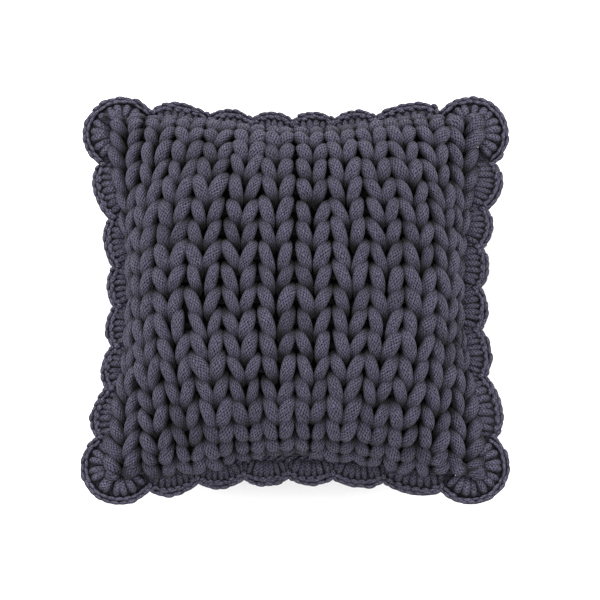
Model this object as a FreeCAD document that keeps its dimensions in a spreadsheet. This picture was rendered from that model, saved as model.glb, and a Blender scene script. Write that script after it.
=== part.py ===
import FreeCAD, Part
import math
import os

import Sketcher
from FreeCAD import Placement, Rotation, Vector

# A square throw pillow: a hand-knitted front and a woven back over a stuffed insert,
# with a crocheted shell edging sewn into the seam and a zip low on the back.
# It lies on its back, knit side up. Millimetres; X is the width, Y runs up the knit
# columns, Z = 0 is the surface the pillow lies on, below the middle of the pillow.

SIZES = {
    "seam_height": (66, "seam plane above the surface the pillow lies on"),
    "seam_corner_x": (197, "seam corner from the middle, across"),
    "seam_corner_y": (193, "seam corner from the middle, up"),
    "seam_mid_x": (176, "middle of the left and right seams, pulled in"),
    "seam_mid_y": (177, "middle of the top and bottom seams, pulled in"),
    "band_thick": (3, "thickness of the first crochet round, caught in the seam"),
    "band_out": (5, "how far that round stands out of the seam"),
    "band_in": (16, "how far it reaches in between front and back"),
    "rise_low": (21, "front dome level where it is fullest"),
    "rise_shoulder": (45, "front dome level at the shoulder"),
    "rise_upper": (66, "front dome level above the shoulder"),
    "rise_crown": (80, "front dome level near the crown"),
    "rise_top": (88, "top of the knit above the seam plane"),
    "low_corner": (172, "half size at the corner there"),
    "low_mid": (183, "half size at mid side there"),
    "shoulder_corner": (145, "half size at the corner there"),
    "shoulder_mid": (173, "half size at mid side there"),
    "upper_corner": (113, "half size at the corner there"),
    "upper_mid": (148, "half size at mid side there"),
    "crown_corner": (72, "half size at the corner there"),
    "crown_mid": (110, "half size at mid side there"),
    "top_corner": (36, "half size at the corner there"),
    "top_mid": (50, "half size at mid side there"),
    "knit_thick": (15, "thickness of the knitted front"),
    "lining_gap": (0.8, "knit to lining"),
    "lining_thick": (1.2, "lining behind the knit"),
    "insert_gap": (1.2, "cover to insert"),
    "insert_thick": (1.2, "shell of the insert"),
    "fill_gap": (0.8, "insert shell to fibre fill"),
    "fall_fold": (14, "back level where the zip facing starts"),
    "fall_facing": (34, "back level where the zip facing ends"),
    "fall_lower": (52, "back level near the surface below"),
    "fold_corner": (179, "half size at the corner there"),
    "fold_mid": (182, "half size at mid side there"),
    "facing_corner": (165, "half size at the corner there"),
    "facing_mid": (172, "half size at mid side there"),
    "lower_corner": (130, "half size at the corner there"),
    "lower_mid": (149, "half size at mid side there"),
    "base_corner": (93, "half size of the flat resting area at its corner"),
    "base_mid": (111, "half size of the flat resting area at mid side"),
    "back_thick": (2, "woven back, measured level"),
    "back_floor": (1.6, "woven back, where it lies flat"),
    "back_room": (8, "back to insert, level, with room for the slider"),
    "back_room_floor": (2.4, "back's underside to the insert's underside"),
    "shells_per_side": (6, "crochet shells between two corner shells"),
    "shell_pitch": (49.6, "shell spacing along the seam"),
    "shell_thick": (9, "thickness of the crochet"),
    "shell_gap": (0.5, "gap each side of a shell"),
    "shell_taper": (0.6, "how much narrower a shell's half width gets outwards"),
    "cusp_reach": (16.5, "seam to the shell's outer line, between shells"),
    "tip_reach": (22.5, "seam to the shell's outer line, at its middle"),
    "chain_wide": (5.5, "width of the chain stitch along the outer line"),
    "ear_x": (183, "centre of a corner shell, across"),
    "ear_y": (179, "centre of a corner shell, up"),
    "ear_radius": (46, "outer radius of a corner shell"),
    "ear_trim": (149.8, "where a corner shell stops on the top and bottom"),
    "ear_trim_side": (149.9, "where a corner shell stops on the left and right"),
    "zip_half": (158, "half length of the zip tapes and of their opening"),
    "slot_half": (4, "half width of the opening over the zip"),
    "tape_thick": (0.8, "woven zip tape"),
    "tape_top": (1.7, "tape's top face below the outside of the back"),
    "tape_outer": (10.5, "outer edge of a tape from the zip's middle"),
    "tape_inner": (2.5, "inner edge of a tape from the zip's middle"),
    "coil_radius": (0.8, "radius of a coil"),
    "coil_centre": (1.7, "coil from the zip's middle"),
    "coil_depth": (1.3, "coil centre below the outside of the back"),
    "coil_half": (149, "half length of the coils"),
    "travel_half": (140, "slider from the middle, closed or open"),
    "slider_half": (6, "half length of the slider"),
    "slider_wide": (7.2, "width of the slider"),
    "plate_thick": (1.2, "slider's top and bottom plates"),
    "plate_low": (4.1, "underside of the bottom plate below the outside of the back"),
    "post_wide": (0.9, "slider's post between the coils"),
    "post_half": (1.5, "half length of that post"),
    "pin_high": (3.1, "pull tab's pin above the outside of the back"),
    "pin_radius": (0.6, "radius of that pin"),
    "lug_in": (2.2, "inner face of the lugs that hold the pin"),
    "lug_thick": (0.8, "thickness of a lug"),
    "lug_half": (0.8, "half length of a lug"),
    "lug_high": (3.8, "top of the lugs above the outside of the back"),
    "eye_radius": (1.6, "eye of the pull tab"),
    "eye_bore": (0.85, "hole in that eye"),
    "eye_half": (1.9, "half width of that eye"),
    "tab_thick": (1.2, "thickness of the pull tab"),
    "tab_start": (2, "where the tab widens, from its pin"),
    "tab_half": (3, "half width of the pull tab"),
    "tab_long": (24, "pull tab from its pin to its end"),
    "stop_half": (1.2, "half length of a zip stop"),
    "stop_from_middle": (147.8, "zip stop from the middle"),
    "stop_high": (0.8, "top of a stop above the outside of the back"),
    "stop_wide": (5.2, "width of a stop"),
}

doc = FreeCAD.newDocument("ThrowPillow")
sheet = doc.addObject("Spreadsheet::Sheet", "Sizes")
for row, (alias, (number, note)) in enumerate(SIZES.items(), 1):
    sheet.set(f"A{row}", note)
    sheet.set(f"B{row}", str(number))
    sheet.setAlias(f"B{row}", alias)
doc.recompute()


class Size:
    """A length: the sheet expression that gives it, and what it comes to."""

    def __init__(self, text, value):
        self.text = text
        self.value = value

    def join(self, sign, other, value):
        return Size(f"({self.text} {sign} {as_size(other).text})", value)

    def __add__(self, other):
        return self.join("+", other, self.value + as_size(other).value)

    def __sub__(self, other):
        return self.join("-", other, self.value - as_size(other).value)

    def __mul__(self, other):
        return self.join("*", other, self.value * as_size(other).value)

    def __truediv__(self, other):
        return self.join("/", other, self.value / as_size(other).value)

    def __neg__(self):
        return self * -1

    def __abs__(self):
        return Size(f"abs({self.text})", abs(self.value))


def as_size(item):
    return item if isinstance(item, Size) else Size(f"({item:g})", float(item))


def size(alias):
    return Size(f"Sizes.{alias}", float(SIZES[alias][0]))


def bind(thing, **properties):
    """Ties properties to the sheet; a double underscore stands for a dot."""
    for path, length in properties.items():
        thing.setExpression(path.replace("__", "."), as_size(length).text)


NONE = Size("0", 0.0)
RIGHT_ANGLE = Size("90 deg", 90.0)
SEAM = size("seam_height")


def new_body(name):
    body = doc.addObject("PartDesign::Body", name)
    body.Label = name
    body.AllowCompound = True
    return body


def origin_part(body, role):
    return next(f for f in body.Origin.OriginFeatures if f.Role == role)


def new_sketch(body, name, plane="XY_Plane", height=NONE):
    sketch = body.newObject("Sketcher::SketchObject", name)
    sketch.AttachmentSupport = (origin_part(body, plane), [""])
    sketch.MapMode = "FlatFace"
    sketch.AttachmentOffset = Placement(Vector(0, 0, height.value), Rotation())
    bind(sketch, AttachmentOffset__Base__z=height)
    return sketch


def fix(sketch, name, length, kind, *where):
    """Adds a named dimension and ties it to the sheet."""
    index = sketch.addConstraint(Sketcher.Constraint(kind, *where, length.value))
    sketch.renameConstraint(index, name)
    sketch.setExpression(f"Constraints.{name}", length.text)


def arc_radius(half_chord, rise):
    return (half_chord * half_chord + rise * rise) / (rise * 2)


# ---------------------------------------------------------------- pillow outlines
class Level:
    """One level of the pillow: corners, mid sides, and height above the seam."""

    def __init__(self, height, corner, mid, straight_front=False):
        self.height = height
        self.corner_x, self.corner_y = corner
        self.mid_x, self.mid_y = mid
        self.straight_front = straight_front

    def inset(self, level_by, height_by):
        corner = (self.corner_x - level_by, self.corner_y - level_by)
        mid = (self.mid_x - level_by, self.mid_y - level_by)
        return Level(self.height - height_by, corner, mid, self.straight_front)


def draw_outline(sketch, level):
    """Four arcs from corner to corner, the front one straight where the zip lies."""
    x, y = level.corner_x.value, level.corner_y.value
    corners = [Vector(x, y, 0), Vector(-x, y, 0), Vector(-x, -y, 0), Vector(x, -y, 0)]
    mid_x, mid_y = level.mid_x.value, level.mid_y.value
    mids = [Vector(0, mid_y, 0), Vector(-mid_x, 0, 0), Vector(0, -mid_y, 0), Vector(mid_x, 0, 0)]
    near_end, far_end = [], []
    for side in range(4):
        start, end = corners[side], corners[(side + 1) % 4]
        straight = level.straight_front and side == 2
        bowed_out = mids[side].Length > max(abs(start.y if side % 2 == 0 else start.x), 0)
        if straight:
            sketch.addGeometry(Part.LineSegment(start, end))
        elif bowed_out:
            sketch.addGeometry(Part.Arc(start, mids[side], end))
        else:
            sketch.addGeometry(Part.Arc(end, mids[side], start))
        forward = straight or bowed_out
        near_end.append(1 if forward else 2)
        far_end.append(2 if forward else 1)
        if not straight:
            across = side % 2 == 0
            half = level.corner_x if across else level.corner_y
            rise = abs(level.mid_y - level.corner_y if across else level.mid_x - level.corner_x)
            fix(sketch, f"arc_{side}", arc_radius(half, rise), "Radius", side)
    for side in range(4):
        after = (side + 1) % 4
        ends = (side, far_end[side], after, near_end[after])
        sketch.addConstraint(Sketcher.Constraint("Coincident", *ends))
    fix(sketch, "corner_x", level.corner_x, "DistanceX", -1, 1, 0, near_end[0])
    fix(sketch, "corner_y", level.corner_y, "DistanceY", -1, 1, 0, near_end[0])
    for a, b, axis in ((0, 1, -2), (0, 3, -1), (1, 2, -1)):
        pair = (a, near_end[a], b, near_end[b], axis)
        sketch.addConstraint(Sketcher.Constraint("Symmetric", *pair))


def loft(body, name, levels, kind="Additive", ruled=True):
    sketches = []
    for number, level in enumerate(levels):
        sketch = new_sketch(body, f"{name}_level_{number}", height=level.height)
        draw_outline(sketch, level)
        sketches.append(sketch)
    doc.recompute()
    feature = body.newObject(f"PartDesign::{kind}Loft", name)
    feature.Profile = sketches[0]
    feature.Sections = sketches[1:]
    feature.Ruled = ruled
    return feature


SEAM_CORNER = (size("seam_corner_x"), size("seam_corner_y"))
SEAM_MID = (size("seam_mid_x"), size("seam_mid_y"))
HALF_BAND = size("band_thick") / 2


def named_level(height, place, straight_front=False):
    corner = size(f"{place}_corner")
    mid = size(f"{place}_mid")
    return Level(height, (corner, corner), (mid, mid), straight_front)


def front_dome(depth, floor):
    """The front's levels, a given depth inside the outside of the knit."""
    levels = [Level(floor, SEAM_CORNER, SEAM_MID).inset(depth, NONE)]
    inward = {"low": (1, 0.05), "shoulder": (0.85, 0.55), "upper": (0.55, 0.85),
              "crown": (0.3, 0.97), "top": (0.1, 1)}
    for place, (level_part, height_part) in inward.items():
        level = named_level(size(f"rise_{place}"), place)
        levels.append(level.inset(depth * level_part, depth * height_part))
    return levels


def back_dome(seam_depth, level_depth, floor_depth, ceiling):
    """The back's levels, from the seam down to the flat it lies on."""
    first = Level(ceiling, SEAM_CORNER, SEAM_MID).inset(seam_depth, NONE)
    fold = named_level(-size("fall_fold"), "fold", True)
    facing = named_level(-size("fall_facing"), "facing", True)
    lower = named_level(-size("fall_lower"), "lower")
    base = named_level(-SEAM, "base").inset(floor_depth, -floor_depth)
    sloping = lower.inset(level_depth * 0.8, level_depth * -0.3)
    return [first, fold.inset(level_depth, NONE), facing.inset(level_depth, NONE), sloping, base]


def at_seam(thing):
    """Sets a body that is drawn about the seam plane at its height."""
    bind(thing, Placement__Base__z=SEAM)
    return thing


def domed_sheet(name, outer, inner, smooth_outside=False):
    body = at_seam(new_body(name))
    loft(body, f"{name}_outside", outer, ruled=not smooth_outside)
    loft(body, f"{name}_inside", inner, "Subtractive")
    return body


# ---------------------------------------------------------------- front: knit and lining
# The knit is about as thick as its yarn; a plain dark lining lies behind it.
knit_panel = domed_sheet(
    "knit_panel",
    front_dome(NONE, HALF_BAND),
    front_dome(size("knit_thick"), HALF_BAND),
    smooth_outside=True,
)
lining_out = size("knit_thick") + size("lining_gap")
lining_in = lining_out + size("lining_thick")
cover_lining = domed_sheet(
    "cover_lining",
    front_dome(lining_out, HALF_BAND),
    front_dome(lining_in, HALF_BAND),
)

# ---------------------------------------------------------------- insert
# A separate cushion pad: two woven halves and loose fibre fill.
front_out = lining_in + size("insert_gap")
front_in = front_out + size("insert_thick")
insert_shell_front = domed_sheet(
    "insert_shell_front", front_dome(front_out, NONE), front_dome(front_in, NONE)
)
room = size("back_room")
room_floor = size("back_room_floor")
insert_shell_back = domed_sheet(
    "insert_shell_back",
    back_dome(front_out, room, room_floor, NONE),
    back_dome(front_in, room + size("insert_thick"), room_floor + size("insert_thick"), NONE),
)
fill_front = front_in + size("fill_gap")
fill_back = room + size("insert_thick") + size("fill_gap") * 2
fill_floor = room_floor + size("insert_thick") + size("fill_gap")
fibre_fill = at_seam(new_body("fibre_fill"))
loft(fibre_fill, "fill_upper", front_dome(fill_front, NONE))
loft(fibre_fill, "fill_lower", back_dome(fill_front, fill_back, fill_floor, NONE))

# ---------------------------------------------------------------- woven back, in two panels
# One woven shape, parted along the zip: a wide main panel, and a narrow strip between
# the zip and the bottom seam.
back_whole = domed_sheet(
    "back_whole",
    back_dome(NONE, NONE, NONE, -HALF_BAND),
    back_dome(size("back_thick") * 4, size("back_thick"), size("back_floor"), -HALF_BAND),
)

fold_y, facing_y = size("fold_corner"), size("facing_corner")
fold_z, facing_z = SEAM - size("fall_fold"), SEAM - size("fall_facing")
ZIP_Y = -(fold_y + facing_y) / 2
ZIP_Z = (fold_z + facing_z) / 2
ZIP_TILT = Size(
    f"(90 deg + atan({(fold_y - facing_y).text} / {(fold_z - facing_z).text}))",
    90 + math.degrees(math.atan((fold_y - facing_y).value / (fold_z - facing_z).value)),
)


def in_zip_frame(thing, x, y, z):
    """Places a thing in the zip's own frame: x along it, y up the facing, z outwards."""
    turn = Rotation(Vector(1, 0, 0), ZIP_TILT.value)
    thing.Placement = Placement(Vector(0, ZIP_Y.value, ZIP_Z.value), turn)
    tilt = ZIP_TILT.text
    bind(
        thing,
        Placement__Rotation__Angle=ZIP_TILT,
        Placement__Base__x=x,
        Placement__Base__y=Size(f"{ZIP_Y.text} + {y.text}*cos({tilt}) - {z.text}*sin({tilt})", 0),
        Placement__Base__z=Size(f"{ZIP_Z.text} + {y.text}*sin({tilt}) + {z.text}*cos({tilt})", 0),
    )
    return thing


def zip_box(name, x, y, z):
    """A block in the zip's frame, from its lowest to its highest x, y and z."""
    block = doc.addObject("Part::Box", name)
    block.Label = name
    spans = [high - low for low, high in (x, y, z)]
    bind(block, Length=spans[0], Width=spans[1], Height=spans[2])
    return in_zip_frame(block, x[0], y[0], z[0])


def zip_rod(name, centre, radius, axis, half_long):
    """A round rod in the zip's frame, along x or along y."""
    rod = doc.addObject("Part::Cylinder", name)
    rod.Label = name
    bind(rod, Radius=radius, Height=half_long * 2)
    x, y, z = centre
    if axis == "x":
        in_zip_frame(rod, x - half_long, y, z)
        rod.Placement = Placement(rod.Placement.Base, Rotation(Vector(0, 1, 0), 90))
        rod.setExpression("Placement.Rotation.Angle", None)
        return rod
    in_zip_frame(rod, x, y - half_long, z)
    bind(rod, Placement__Rotation__Angle=ZIP_TILT - RIGHT_ANGLE)
    return rod


def boolean(kind, name, base, tool):
    result = doc.addObject(f"Part::{kind}", name)
    result.Label = name
    result.Base = base
    result.Tool = tool
    return result


beyond = size("seam_corner_x") * 1.5
above_zip = zip_box(
    "above_zip", (-beyond, beyond), (NONE, size("tape_outer") * 8), (-SEAM, SEAM / 2)
)
slot = zip_box(
    "zip_slot",
    (-size("zip_half"), size("zip_half")),
    (-size("slot_half"), size("slot_half")),
    (-size("plate_low"), size("plate_low")),
)
above_slot = zip_box(
    "above_slot",
    (-size("zip_half"), size("zip_half")),
    (-size("slot_half"), size("slot_half")),
    (-size("plate_low"), size("plate_low")),
)
main_uncut = boolean("Cut", "main_uncut", back_whole, above_zip)
back_panel_main = boolean("Cut", "back_panel_main", main_uncut, slot)
strip_uncut = boolean("Common", "strip_uncut", back_whole, above_zip)
back_panel_strip = boolean("Cut", "back_panel_strip", strip_uncut, above_slot)

# ---------------------------------------------------------------- zip
tape_x = (-size("zip_half"), size("zip_half"))
tape_z = (-size("tape_top") - size("tape_thick"), -size("tape_top"))
near, far = size("tape_inner"), size("tape_outer")
zip_tape_main = zip_box("zip_tape_main", tape_x, (-far, -near), tape_z)
zip_tape_strip = zip_box("zip_tape_strip", tape_x, (near, far), tape_z)
coil_z = -size("coil_depth")
zip_coil_main = zip_rod(
    "zip_coil_main", (NONE, -size("coil_centre"), coil_z), size("coil_radius"), "x", size("coil_half")
)
zip_coil_strip = zip_rod(
    "zip_coil_strip", (NONE, size("coil_centre"), coil_z), size("coil_radius"), "x", size("coil_half")
)
stop_y = (-size("stop_wide") / 2, size("stop_wide") / 2)
stop_z = (size("coil_radius") - size("coil_depth"), size("stop_high"))
stop_at = size("stop_from_middle")
stop_half = size("stop_half")
zip_stop_closed = zip_box(
    "zip_stop_closed", (stop_at - stop_half, stop_at + stop_half), stop_y, stop_z
)
zip_stop_open = zip_box(
    "zip_stop_open", (-stop_at - stop_half, -stop_at + stop_half), stop_y, stop_z
)


def fused(name, pieces):
    result = doc.addObject("Part::MultiFuse", name)
    result.Label = name
    result.Shapes = pieces
    return result


# Slider: a plate over and a plate under the coils, joined by a post between them,
# with two lugs and a pin for the pull tab.
at_x = size("travel_half")
slider_x = (at_x - size("slider_half"), at_x + size("slider_half"))
slider_y = (-size("slider_wide") / 2, size("slider_wide") / 2)
plate = size("plate_thick")
low = -size("plate_low")
post_x = (at_x - size("post_half"), at_x + size("post_half"))
post_y = (-size("post_wide") / 2, size("post_wide") / 2)
lug_x = (at_x - size("lug_half"), at_x + size("lug_half"))
lug_in = size("lug_in")
lug_out = lug_in + size("lug_thick")
lug_z = (plate / 2, size("lug_high"))
zip_slider = fused("zip_slider", [
    zip_box("slider_top", slider_x, slider_y, (NONE, plate)),
    zip_box("slider_bottom", slider_x, slider_y, (low, low + plate)),
    zip_box("slider_post", post_x, post_y, (low + plate / 2, plate / 2)),
    zip_box("lug_a", lug_x, (lug_in, lug_out), lug_z),
    zip_box("lug_b", lug_x, (-lug_out, -lug_in), lug_z),
    zip_rod("tab_pin", (at_x, NONE, size("pin_high")), size("pin_radius"), "y", lug_out),
])

# Pull tab: a flat tongue with an eye round the pin.
pin = size("pin_high")
half_tab = size("tab_thick") / 2
eye_half = size("eye_half")
tab_z = (pin - half_tab, pin + half_tab)
wide = (-size("tab_half"), size("tab_half"))
neck_x = (at_x - size("tab_start") * 1.5, at_x - size("eye_bore"))
tab_solid = fused("tab_solid", [
    zip_box("tab_plate", (at_x - size("tab_long"), at_x - size("tab_start")), wide, tab_z),
    zip_box("tab_neck", neck_x, (-eye_half, eye_half), tab_z),
    zip_rod("tab_eye", (at_x, NONE, pin), size("eye_radius"), "y", eye_half),
])
eye_hole = zip_rod("eye_hole", (at_x, NONE, pin), size("eye_bore"), "y", size("tab_half"))
zip_pull_tab = boolean("Cut", "zip_pull_tab", tab_solid, eye_hole)

# ---------------------------------------------------------------- crochet edging
# A flat first round is caught in the seam. Shells are worked into it, and a chain
# stitch follows their scalloped outer line.
SEAM_LEVEL = Level(NONE, SEAM_CORNER, SEAM_MID)


def pad(body, name, sketch, thickness):
    doc.recompute()
    feature = body.newObject("PartDesign::Pad", name)
    feature.Profile = sketch
    feature.SideType = "Symmetric"
    bind(feature, Length=thickness)
    return feature


def pocket(body, name, sketch):
    doc.recompute()
    feature = body.newObject("PartDesign::Pocket", name)
    feature.Profile = sketch
    feature.SideType = "Symmetric"
    bind(feature, Length=size("shell_thick") * 4)
    return feature


border_base_round = at_seam(new_body("border_base_round"))
band_edge = new_sketch(border_base_round, "band_edge")
draw_outline(band_edge, SEAM_LEVEL.inset(-size("band_out"), NONE))
pad(border_base_round, "band", band_edge, size("band_thick"))
band_inside = new_sketch(border_base_round, "band_inside")
draw_outline(band_inside, SEAM_LEVEL.inset(size("band_in"), NONE))
pocket(border_base_round, "band_opening", band_inside)


def draw_patch(sketch, low, high):
    """A shell's outline about the seam arc's centre. Each edge is (half width, y at
    its ends, y at its middle); an edge with no middle is straight."""
    edges = []
    for half, ends, middle in (low, high):
        left, right = Vector(-half.value, ends.value, 0), Vector(half.value, ends.value, 0)
        if middle is None:
            edges.append(sketch.addGeometry(Part.LineSegment(right, left)))
            continue
        edges.append(sketch.addGeometry(Part.Arc(right, Vector(0, middle.value, 0), left)))
    for number, (half, ends, middle) in enumerate((low, high)):
        edge = edges[number]
        fix(sketch, f"half_{number}", half, "DistanceX", -1, 1, edge, 1)
        fix(sketch, f"ends_{number}", -ends, "DistanceY", edge, 1, -1, 1)
        sketch.addConstraint(Sketcher.Constraint("Symmetric", edge, 1, edge, 2, -2))
        if middle is not None:
            fix(sketch, f"bow_{number}", arc_radius(half, middle - ends), "Radius", edge)
    for point in (1, 2):
        a = Vector(sketch.getPoint(edges[0], point))
        b = Vector(sketch.getPoint(edges[1], point))
        side = sketch.addGeometry(Part.LineSegment(a, b))
        sketch.addConstraint(Sketcher.Constraint("Coincident", side, 1, edges[0], point))
        sketch.addConstraint(Sketcher.Constraint("Coincident", side, 2, edges[1], point))


def along_side(name, quarter_turns, half_chord, mid, low_edge, high_edge):
    """Copies a shell's outline along one side of the pillow, about its seam arc's centre."""
    rise = half_chord[1] - mid
    radius = arc_radius(half_chord[0], rise)
    step = Size(
        f"(2 * asin({(size('shell_pitch') / 2).text} / {radius.text}))",
        2 * math.degrees(math.asin(size("shell_pitch").value / 2 / radius.value)),
    )
    body = new_body(name)
    sketch = new_sketch(body, f"{name}_outline")
    draw_patch(sketch, low_edge(radius), high_edge(radius))
    padded = pad(body, f"{name}_pad", sketch, size("shell_thick"))
    doc.recompute()
    pattern = body.newObject("PartDesign::PolarPattern", f"{name}_copies")
    pattern.Originals = [padded]
    pattern.Axis = (origin_part(body, "Z_Axis"), [""])
    count = size("shells_per_side")
    bind(pattern, Angle=step * (count - 1), Occurrences=count)
    body.Tip = pattern
    start = Size(f"({90 * quarter_turns} deg - {step.text} * {((count - 1) / 2).text})", 0)
    reach = mid + radius
    turned = math.radians(90 * quarter_turns)
    bind(
        body,
        Placement__Rotation__Angle=start,
        Placement__Base__x=reach * round(-math.sin(turned)),
        Placement__Base__y=reach * round(math.cos(turned)),
        Placement__Base__z=SEAM,
    )
    return body


SHELL_HALF = size("shell_pitch") / 2 - size("shell_gap")
CUSP_HALF = SHELL_HALF - size("shell_taper")
CHAIN_HALF = CUSP_HALF - size("shell_taper") / 3


def shell_root(radius):
    return SHELL_HALF, size("band_out") + size("shell_gap") - radius, None


def shell_line(radius):
    return CUSP_HALF, size("cusp_reach") - radius, size("tip_reach") - radius


def chain_line(radius):
    out = size("chain_wide") - radius
    return CHAIN_HALF, size("cusp_reach") + out, size("tip_reach") + out


ACROSS = (size("seam_corner_x"), size("seam_corner_y"))
UPRIGHT = (size("seam_corner_y"), size("seam_corner_x"))
SIDES = {
    "top": (0, ACROSS, size("seam_mid_y")),
    "left": (1, UPRIGHT, size("seam_mid_x")),
    "bottom": (2, ACROSS, size("seam_mid_y")),
    "right": (3, UPRIGHT, size("seam_mid_x")),
}
edging = []
for side, (turns, chord, mid) in SIDES.items():
    edging.append(along_side(f"border_shells_{side}", turns, chord, mid, shell_root, shell_line))
    edging.append(along_side(f"border_chain_{side}", turns, chord, mid, shell_line, chain_line))


def draw_circle(sketch, name, radius):
    centre = Vector(size("ear_x").value, size("ear_y").value, 0)
    circle = sketch.addGeometry(Part.Circle(centre, Vector(0, 0, 1), radius.value))
    fix(sketch, f"{name}_x", size("ear_x"), "DistanceX", -1, 1, circle, 3)
    fix(sketch, f"{name}_y", size("ear_y"), "DistanceY", -1, 1, circle, 3)
    fix(sketch, f"{name}_radius", radius, "Radius", circle)


def draw_trim(sketch, x_end, y_end):
    """A block from beyond the middle of the pillow out to (x_end, y_end)."""
    points = [Vector(0, 0, 0), Vector(x_end.value, 0, 0),
              Vector(x_end.value, y_end.value, 0), Vector(0, y_end.value, 0)]
    for number in range(4):
        sketch.addGeometry(Part.LineSegment(points[number], points[(number + 1) % 4]))
    for number in range(4):
        joined = (number, 2, (number + 1) % 4, 1)
        sketch.addConstraint(Sketcher.Constraint("Coincident", *joined))
    sketch.addConstraint(Sketcher.Constraint("Coincident", 0, 1, -1, 1))
    for number, way in enumerate(("Horizontal", "Vertical", "Horizontal")):
        sketch.addConstraint(Sketcher.Constraint(way, number))
    sketch.addConstraint(Sketcher.Constraint("Vertical", 3))
    fix(sketch, "trim_x", x_end, "DistanceX", -1, 1, 1, 2)
    fix(sketch, "trim_y", y_end, "DistanceY", -1, 1, 1, 2)


def corner_piece(name, flip_axis, radii):
    """A corner shell, or the chain round it: a disc or ring less the pillow and the
    neighbouring shells. It is the same both ways up, so flips make the other corners."""
    body = at_seam(new_body(name))
    body.Placement = Placement(Vector(0, 0, SEAM.value), Rotation(flip_axis, 180 if flip_axis.Length else 0))
    disc = new_sketch(body, f"{name}_disc")
    for number, radius in enumerate(radii):
        draw_circle(disc, f"ring_{number}", radius)
    pad(body, f"{name}_pad", disc, size("shell_thick"))
    inside = new_sketch(body, f"{name}_seam")
    draw_outline(inside, SEAM_LEVEL.inset(-size("band_out") - size("shell_gap"), NONE))
    pocket(body, f"{name}_less_pillow", inside)
    beyond_ear = size("ear_y") * 2
    for part, ends in (
        ("across", (size("ear_trim"), beyond_ear)),
        ("upright", (beyond_ear, size("ear_trim_side"))),
    ):
        trim = new_sketch(body, f"{name}_{part}")
        draw_trim(trim, *ends)
        pocket(body, f"{name}_trim_{part}", trim)
    return body


FLIPS = {
    "top_right": Vector(0, 0, 0),
    "top_left": Vector(0, 1, 0),
    "bottom_left": Vector(0, 0, 1),
    "bottom_right": Vector(1, 0, 0),
}
ear = size("ear_radius")
ear_inner = ear - size("chain_wide")
for corner, flip in FLIPS.items():
    edging.append(corner_piece(f"border_corner_{corner}", flip, [ear_inner]))
    edging.append(corner_piece(f"border_corner_chain_{corner}", flip, [ear, ear_inner]))

# ---------------------------------------------------------------- check and write
PARTS = [
    knit_panel, cover_lining, insert_shell_front, insert_shell_back, fibre_fill,
    back_panel_main, back_panel_strip, zip_tape_main, zip_tape_strip, zip_coil_main,
    zip_coil_strip, zip_stop_closed, zip_stop_open, zip_slider, zip_pull_tab,
    border_base_round, *edging,
]
doc.recompute()
failed = [o.Label for o in doc.Objects if "Invalid" in o.State or "Error" in o.State]
if failed:
    raise RuntimeError(f"not built: {failed}")
for part in PARTS:
    if part.Shape.isNull() or not part.Shape.isValid() or part.Shape.Volume <= 0:
        raise RuntimeError(f"bad shape: {part.Label}")
os.makedirs("parts", exist_ok=True)
for part in PARTS:
    part.Shape.exportStep(f"parts/{part.Label}.step")
    print(part.Label, len(part.Shape.Solids), round(part.Shape.Volume / 1000, 2), "cm3")
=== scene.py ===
import bpy
import math
import numpy as np
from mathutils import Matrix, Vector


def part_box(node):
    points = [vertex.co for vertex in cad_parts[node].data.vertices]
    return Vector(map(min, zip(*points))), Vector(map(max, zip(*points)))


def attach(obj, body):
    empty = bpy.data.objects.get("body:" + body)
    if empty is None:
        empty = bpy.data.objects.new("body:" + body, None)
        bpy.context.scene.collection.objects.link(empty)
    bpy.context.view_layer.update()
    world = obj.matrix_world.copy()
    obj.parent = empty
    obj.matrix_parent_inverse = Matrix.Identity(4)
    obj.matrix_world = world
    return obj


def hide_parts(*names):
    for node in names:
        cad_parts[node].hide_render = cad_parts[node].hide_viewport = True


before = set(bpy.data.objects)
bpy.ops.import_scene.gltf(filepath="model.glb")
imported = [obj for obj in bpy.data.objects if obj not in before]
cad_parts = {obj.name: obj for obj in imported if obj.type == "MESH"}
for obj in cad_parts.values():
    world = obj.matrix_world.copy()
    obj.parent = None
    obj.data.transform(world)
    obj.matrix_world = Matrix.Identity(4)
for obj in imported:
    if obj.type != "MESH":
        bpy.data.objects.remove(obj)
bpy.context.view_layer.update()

WALES = 12  # stitches across
ROWS = 19   # rows of stitches, bottom to top
YARN_RADIUS = 0.0077

seam_low, seam_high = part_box("border_base_round")
SEAM_Z = (seam_low[2] + seam_high[2]) / 2
KNIT_HIGH = np.array(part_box("knit_panel")[1])
SEAM_CORNER = KNIT_HIGH[:2]           # corners of the seam, from the middle
SEAM_PULL = np.array((0.021, 0.016))  # seams pull in between corners: sides, ends
SEAM_MID = SEAM_CORNER - SEAM_PULL
KNIT_CORNER = SEAM_CORNER + (0.011, 0.009)  # the thick knit stands out past it there
FULLEST = np.array((0.187, 0.1875))         # half size where the knit bulges most
KNIT_SHIFT = 0.0035                         # the knit has crept towards the top seam
CORNER_STRETCH = 0.13                       # stitches crowd in from the corners
CROWN = KNIT_HIGH[2] - SEAM_Z               # top of the knit above the seam
SEAM_LIFT = 0.007                           # the yarn stands this far above the seam
FAN_END = 0.8                               # share of the way out where fanning is full


def dome_profile(turn=110.0, squareness=2.9, count=2001):
    """Across the pillow from its crown: level position, height and their parameter.
    The surface turns slowly over the crown and fast near the seam."""
    s = np.linspace(0, 1, count)
    slope = np.radians(turn) * s**squareness
    step = np.diff(s)
    level = np.concatenate([[0], np.cumsum((np.cos(slope)[1:] + np.cos(slope)[:-1]) / 2 * step)])
    fall = np.concatenate([[0], np.cumsum((np.sin(slope)[1:] + np.sin(slope)[:-1]) / 2 * step)])
    return s, level, 1 - fall / fall[-1]


PROFILE_S, PROFILE_LEVEL, PROFILE_HEIGHT = dome_profile()


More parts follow.
